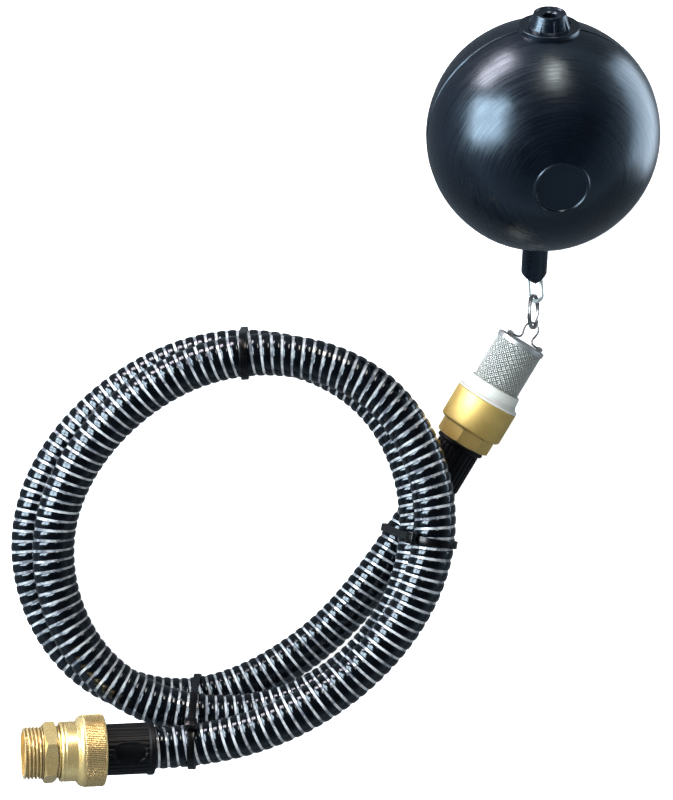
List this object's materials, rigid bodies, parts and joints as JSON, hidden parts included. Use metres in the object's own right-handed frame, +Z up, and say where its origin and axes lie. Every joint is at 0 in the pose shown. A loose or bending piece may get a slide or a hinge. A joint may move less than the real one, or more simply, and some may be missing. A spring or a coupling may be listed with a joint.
{
  "type": "floating suction hose with foot valve",
  "caption": "Coiled suction hose with a brass foot valve and mesh strainer hung from a ball float, and a threaded brass outlet union.",
  "frame": {"origin": "centre of the outlet nipple's end face, on the thread's axis", "axes": "+Z up from the surface the set rests on, +Y along the set's length from the outlet towards the float, +X from the outlet towards the hose"},
  "size_m": [0.4247, 0.4929, 0.1535],
  "materials": {
    "brass_machined": "bright machined brass",
    "brass_brushed": "fine brushed brass",
    "black_rubber": "matt black rubber",
    "black_cuff": "satin black moulded plastic",
    "hose_black": "glossy black spiral on a clear wall",
    "white_nylon": "off-white nylon",
    "stainless": "bright stainless wire and sheet",
    "zinc": "pale zinc plate",
    "tie_nylon": "black nylon",
    "float_black": "glossy near-black blow-moulded polyethylene"
  },
  "bodies": {
    "root": {"outlet_nipple": "brass_machined", "union_gasket": "black_rubber", "outlet_cuff": "black_cuff", "suction_hose": "hose_black", "inlet_cuff": "black_cuff", "inlet_gasket": "black_rubber", "valve_end": "brass_brushed", "valve_body": "brass_brushed", "body_seal": "black_rubber", "spring_guide": "white_nylon", "poppet_spring": "stainless", "strainer_collar": "white_nylon", "strainer_mesh": "stainless", "strainer_cap": "stainless", "bail_lugs": "stainless", "coil_tie_top": "tie_nylon", "coil_tie_right": "tie_nylon", "coil_tie_bottom": "tie_nylon"},
    "union_nut": {"union_nut": "brass_machined"},
    "poppet": {"poppet": "white_nylon", "poppet_seal": "black_rubber"},
    "bail": {"strainer_bail": "stainless"},
    "ring": {"split_ring": "stainless"},
    "link": {"chain_link": "zinc"},
    "float": {"float_shell": "float_black", "float_plug": "float_black", "link_pin": "stainless"}
  },
  "joints": [
    {"name": "union_nut_spin", "type": "hinge", "parent": "root", "child": "union_nut", "pos_m": [0.04347, 0, -0.01165], "axis": [0.9659, 0, -0.2588], "continuous": true},
    {"name": "poppet_lift", "type": "slide", "parent": "root", "child": "poppet", "axis": [-0.5052, -0.8543, -0.1219], "range_m": [0, 0.004], "stiffness_N_per_m": 60, "springref_m": -0.002, "deforming": ["poppet_spring"]},
    {"name": "bail_swing", "type": "hinge", "parent": "root", "child": "bail", "pos_m": [0.32426, 0.26315, -0.06633], "axis": [0.8607, -0.509, 0], "range_deg": [-15, 20]},
    {"name": "ring_turn", "type": "hinge", "parent": "bail", "child": "ring", "pos_m": [0.3304, 0.2829, -0.0736], "axis": [0.9391, -0.0328, 0.342], "range_deg": [-25, 25]},
    {"name": "link_swing", "type": "hinge", "parent": "ring", "child": "link", "pos_m": [0.33228, 0.29306, -0.07779], "axis": [-0.2994, 0.4101, 0.8615], "range_deg": [-15, 15]},
    {"name": "float_swing", "type": "hinge", "parent": "link", "child": "float", "pos_m": [0.3313, 0.30948, -0.07949], "axis": [-0.0819, 0.5573, -0.8262], "range_deg": [-12, 12]}
  ]
}
